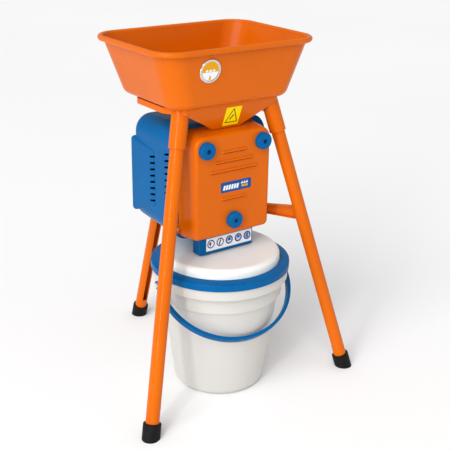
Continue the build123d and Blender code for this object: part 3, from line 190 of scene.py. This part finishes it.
ORANGE = (0.68, 0.128, 0.0)
BLUE = (0.0, 0.106, 0.310)
MATERIALS = {
    "orange_paint": painted("orange_paint", ORANGE),
    "blue_paint": painted("blue_paint", BLUE),
    "blue_plastic": moulded("blue_plastic", BLUE),
    "white_plastic": polypropylene("white_plastic", (0.615, 0.600, 0.570)),
    # Painted light: the lid is the bucket's white plastic made lighter, to make up for the mill's shade
    # over it.
    "lid_plastic_painted_light": polypropylene("lid_plastic_painted_light", (0.84, 0.85, 0.82)),
    "black_rubber": rubber("black_rubber"),
    "black_plastic": moulded("black_plastic", (0.018, 0.018, 0.019), 0.42, 0.55, 0.2),
    "grey_plastic": moulded("grey_plastic", (0.36, 0.37, 0.38), 0.35, 0.5),
    "green_plastic": moulded("green_plastic", (0.012, 0.26, 0.05)),
    "red_plastic": moulded("red_plastic", (0.52, 0.012, 0.01)),
    "zinc_steel": metal("zinc_steel", (0.62, 0.61, 0.57), 0.28, 0.45),
    "stainless": metal("stainless", (0.64, 0.64, 0.65), 0.22, 0.40, (1, 0.1, 1)),
    "hardened_steel": metal("hardened_steel", (0.30, 0.30, 0.31), 0.30, 0.48, (1, 1, 0.1)),
    "core_steel": metal("core_steel", (0.24, 0.25, 0.27), 0.35, 0.55, (0.1, 12, 0.1)),
    "cast_aluminium": metal("cast_aluminium", (0.56, 0.56, 0.58), 0.45, 0.65, scale=320.0, strength=0.4),
    "copper": copper_wire("copper"),
    "badge_metal": metal("badge_metal", (0.75, 0.75, 0.76), 0.10, 0.20),
    "yellow_label": sticker("yellow_label", (1.0, 0.74, 0.0)),
    "blue_label": sticker("blue_label", (0.010, 0.085, 0.29)),
    "white_label": sticker("white_label", (0.84, 0.86, 0.88)),
}

for part in frame["record"]["subparts"]:
    piece = nodes[part["node"]]
    piece.data.materials.clear()
    piece.data.materials.append(MATERIALS[part["material_slot"]])
# The lid takes the lighter copy of the bucket plastic, painted light against the mill's shade.
nodes["bucket_lid"].data.materials[0] = MATERIALS["lid_plastic_painted_light"]


# ------------------------------------------------------------------ printed art
class Print:
    """Thin flat shapes laid on a printed face: a corner, and two unit directions along the face."""

    def __init__(self, origin, right, up, body):
        self.origin = Vector(origin)
        self.right = Vector(right).normalized()
        self.up = Vector(up).normalized()
        self.out = self.right.cross(self.up)
        self.body = body

    def sheet(self, name, outlines, material, lift, thick=0.00012):
        """One piece made of raised outlines, each a list of (right, up) points in metres."""
        mesh = bpy.data.meshes.new(name)
        work = bmesh.new()
        for outline in outlines:
            base = [
                self.origin + self.right * x + self.up * y + self.out * lift for x, y in outline
            ]
            front = [work.verts.new(point + self.out * thick) for point in base]
            back = [work.verts.new(point) for point in base]
            work.faces.new(front)
            work.faces.new(list(reversed(back)))
            for i in range(len(base)):
                j = (i + 1) % len(base)
                work.faces.new((back[i], back[j], front[j], front[i]))
        bmesh.ops.recalc_face_normals(work, faces=work.faces)
        work.to_mesh(mesh)
        work.free()
        piece = bpy.data.objects.new(name, mesh)
        mesh.materials.append(material)
        bpy.context.scene.collection.objects.link(piece)
        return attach(piece, self.body)


def disc(x, y, radius, count=40):
    """A round outline."""
    turns = [2 * math.pi * i / count for i in range(count)]
    return [(x + radius * math.cos(turn), y + radius * math.sin(turn)) for turn in turns]


def stroke(start, stop, width):
    """A straight bar between two points."""
    (x0, y0), (x1, y1) = start, stop
    long = math.hypot(x1 - x0, y1 - y0)
    nx, ny = (y0 - y1) / long * width / 2, (x1 - x0) / long * width / 2
    return [(x0 + nx, y0 + ny), (x0 - nx, y0 - ny), (x1 - nx, y1 - ny), (x1 + nx, y1 + ny)]


def outline(points, width):
    """Bars along a closed run of points."""
    return [stroke(points[i - 1], points[i], width) for i in range(len(points))]


INK = sticker("black_ink", (0.050, 0.042, 0.010))
WHITE = sticker("white_ink", (0.84, 0.87, 0.90))
NAVY = sticker("navy_ink", (0.010, 0.045, 0.21))
PALE = sticker("pale_ink", (0.30, 0.40, 0.66))
AMBER = sticker("amber_ink", (0.78, 0.36, 0.010))
# Painted shade: the dark discs in the knobs' sockets.
SHADE = sticker("socket_shade", (0.002, 0.014, 0.075))
# Painted shadow: the dark strips under the cover's louvres.
LOUVRE_SHADOW = sticker("louvre_shade", (0.30, 0.030, 0.0))

# Art stands this far off its face, and its layers this far above one another, in metres.
FACE = 0.00002
GROUND, MIDDLE, TOP = 0.0, 0.00013, 0.00026
ACROSS, UPRIGHT = (1, 0, 0), (0, 0, 1)


def middle(node):
    """A node's middle, and its lowest and highest corners."""
    low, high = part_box(node)
    return (low + high) / 2, low, high


def leaning_print(centre, lean, half_thick, body):
    """The front face of a thin plate whose top leans forward by an angle."""
    up = Vector((0, -math.sin(lean), math.cos(lean)))
    out = Vector(ACROSS).cross(up)
    return Print(centre + out * (half_thick + FACE), ACROSS, up, body)


def warning_art():
    """A plain triangle with a slanting bar on the yellow plate under the hopper."""
    plate_thick = 0.0004
    centre, low, high = middle("warning_label")
    lean = math.atan2(high.y - low.y - plate_thick, high.z - low.z)
    plate = leaning_print(centre, lean, plate_thick / 2, "stand")
    triangle = [(0.0, 0.0205), (-0.0165, -0.0165), (0.0165, -0.0165)]
    bar = stroke((-0.0055, -0.0085), (0.0035, 0.0035), 0.0030)
    plate.sheet("warning_triangle", outline(triangle, 0.0021), INK, GROUND)
    plate.sheet("warning_bar", [bar], INK, GROUND)


def cover_art():
    """Slanting white bars, three amber berries and three white leaves on the blue plate."""
    centre, low, high = middle("cover_label")
    plate = Print((centre.x, low.y - FACE, centre.z), ACROSS, UPRIGHT, "cover")
    foot, head = -0.0065, 0.0045
    bars = []
    for i in range(6):
        x = -0.0375 + 0.0075 * i
        bars.append([(x, foot), (x + 0.0055, foot), (x + 0.0085, head), (x + 0.0030, head)])
    plate.sheet("cover_bars", bars, WHITE, GROUND)
    berries = [disc(0.018 + 0.0062 * i, -0.0035, 0.0030, 24) for i in range(3)]
    plate.sheet("cover_berries", berries, AMBER, GROUND)
    leaves = []
    for i in range(3):
        step = 0.007 * i
        leaves.append([(0.013 + step, 0.0015), (0.020 + step, 0.0015), (0.0175 + step, 0.0080)])
    plate.sheet("cover_leaves", leaves, WHITE, GROUND)


def chute_art():
    """Five round signs in a row, each with its own plain shape."""
    centre, low, high = middle("pictogram_label")
    plate = Print((low.x, low.y - FACE, low.z), ACROSS, UPRIGHT, "stand")
    signs = 5
    pitch = (high.x - low.x) / signs
    radius = 0.40 * pitch
    inner = radius * 0.74
    row = (high.z - low.z) * 0.52
    spots = [pitch * (i + 0.5) for i in range(signs)]
    first, second, third, fourth, fifth = spots
    leaf = [(-0.006, 0.0), (-0.001, -0.006), (0.001, 0.004), (-0.004, 0.006)]
    dark = [
        [(first + x, row + y) for x, y in leaf],
        stroke((second - 0.003, row - 0.006), (second + 0.001, row + 0.006), 0.0035),
        disc(third, row + 0.002, 0.0035, 24),
        disc(fourth, row + 0.003, 0.0030, 24),
        stroke((fifth, row - 0.006), (fifth, row + 0.006), 0.0042),
    ]
    light = [
        stroke((third - 0.005, row - 0.004), (third + 0.005, row - 0.004), 0.0020),
        stroke((fourth - 0.004, row - 0.005), (fourth + 0.003, row - 0.001), 0.0022),
        disc(fifth + 0.0035, row, 0.0016, 20),
    ]
    plate.sheet("sign_discs", [disc(x, row, radius) for x in spots], NAVY, GROUND)
    plate.sheet("sign_fields", [disc(x, row, inner) for x in spots[:2]], WHITE, MIDDLE)
    plate.sheet("sign_tints", [disc(x, row, inner) for x in spots[2:]], PALE, MIDDLE)
    plate.sheet("sign_shapes", dark, NAVY, TOP)
    plate.sheet("sign_marks", light, WHITE, TOP)


def badge_art():
    """The badge's enamel: an amber sky, a white base, three seeds and a furrow, inside its rim."""
    wall_run, wall_rise = 21.5, 130.5
    face_half_thick = 0.00055
    centre, low, high = middle("hopper_badge")
    plate = leaning_print(centre, math.atan2(wall_run, wall_rise), face_half_thick, "stand")
    plate.sheet("badge_sky", [disc(0, 0, 0.0215, 56)], AMBER, GROUND)
    base = [(x, y) for x, y in disc(0, 0, 0.0205, 56) if y <= -0.002]
    plate.sheet("badge_base", [base], WHITE, MIDDLE)
    body = [(-0.0045, -0.009), (0.0045, -0.009), (0.002, -0.001), (-0.002, -0.001)]
    seeds = []
    for shift in (-0.009, 0.0, 0.009):
        seeds.append(disc(shift, 0.0005, 0.0032, 24))
        seeds.append([(shift + x, y) for x, y in body])
    plate.sheet("badge_seeds", seeds, WHITE, TOP)
    furrow = [(-0.0035, -0.0195), (0.0035, -0.0195), (0.0015, -0.010), (-0.0015, -0.010)]
    plate.sheet("badge_ground", [furrow], AMBER, TOP)


def knob_art():
    """A painted-shade disc on the floor of each knob's round socket, where the hole lies in shade."""
    socket_deep, clear, radius = 0.002, 0.00015, 0.0040
    for knob in ("knob_left", "knob_right", "knob_bottom"):
        centre, low, high = middle(knob)
        floor = (centre.x, low.y + socket_deep - clear, centre.z)
        plate = Print(floor, ACROSS, UPRIGHT, knob)
        plate.sheet(f"{knob}_socket", [disc(0, 0, radius, 32)], SHADE, GROUND)


def louvre_art():
    """Painted shadow: a dark strip laid under each pressed louvre of the cover, where its shade falls.
    """
    heights = {0.210: 0.0305, 0.188: 0.049, 0.166: 0.063, 0.097: 0.032}
    shadow_high, flare = 0.0032, 0.002
    centre, low, high = middle("cover")
    face_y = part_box("cover_label")[1].y
    plate = Print((centre.x, face_y - FACE, low.z), ACROSS, UPRIGHT, "cover")
    shadow_strips = []
    for top, half in heights.items():
        foot, wide = top - shadow_high, half + flare
        shadow_strips.append([(-half, foot), (half, foot), (wide, top), (-wide, top)])
    plate.sheet("cover_louvre_painted_shadows", shadow_strips, LOUVRE_SHADOW, GROUND)


warning_art()
knob_art()
louvre_art()
cover_art()
chute_art()
badge_art()


# ------------------------------------------------------------------ studio
def studio():
    """A pale floor under an even sky, a very soft sun from the left and one tall strip light."""
    aim = Vector((0, 0, 0.45))
    world = bpy.data.worlds.new("studio")
    world.use_nodes = True
    background = world.node_tree.nodes["Background"]
    background.inputs["Color"].default_value = (1.0, 1.0, 1.0, 1.0)
    background.inputs["Strength"].default_value = 0.58
    bpy.context.scene.world = world
    bpy.ops.mesh.primitive_plane_add(size=60.0, location=(0, 0, 0))
    floor = bpy.context.object
    floor.name = "studio_floor"
    pale = Shader("studio_floor")
    pale.color(pale.ramp(pale.noise(0.6, 2.0), [(0.3, (0.93, 0.93, 0.93)), (0.7, (0.95, 0.95, 0.95))]))
    pale.set(Roughness=0.9, Specular_IOR_Level=0.0)
    floor.data.materials.append(pale.material)
    sun = bpy.data.lights.new("sun", "SUN")
    sun.energy = 2.0
    sun.angle = math.radians(50.0)
    strip = bpy.data.lights.new("strip", "AREA")
    strip.shape = "RECTANGLE"
    strip.size, strip.size_y = 0.22, 1.7
    strip.energy = 20.0
    for light, place in ((sun, (-1.5, -0.8, 1.9)), (strip, (-2.3, -1.5, 1.15))):
        lamp = bpy.data.objects.new(light.name, light)
        lamp.location = place
        lamp.rotation_euler = (aim - lamp.location).to_track_quat("-Z", "Y").to_euler()
        bpy.context.scene.collection.objects.link(lamp)
    bpy.context.scene.view_settings.view_transform = "Standard"


def camera():
    """Stands front left of the machine, a little above its rim, with a slight roll."""
    stand_point = Vector((-1.1745, -1.7601, 1.2056))
    yaw, pitch, roll = math.radians(35.7), math.radians(21.52), math.radians(0.85)
    flat = math.cos(pitch)
    forward = Vector((math.sin(yaw) * flat, math.cos(yaw) * flat, -math.sin(pitch)))
    level = Vector((math.cos(yaw), -math.sin(yaw), 0))
    upward = level.cross(forward)
    right = level * math.cos(roll) + upward * math.sin(roll)
    top = upward * math.cos(roll) - level * math.sin(roll)
    lens = bpy.data.cameras.new("photo_view")
    lens.sensor_width = 36.0
    lens.lens = 72.75
    view = bpy.data.objects.new("photo_view", lens)
    place = Matrix((right, top, -forward)).transposed().to_4x4()
    place.translation = stand_point
    view.matrix_world = place
    bpy.context.scene.collection.objects.link(view)
    bpy.context.scene.camera = view


studio()
camera()
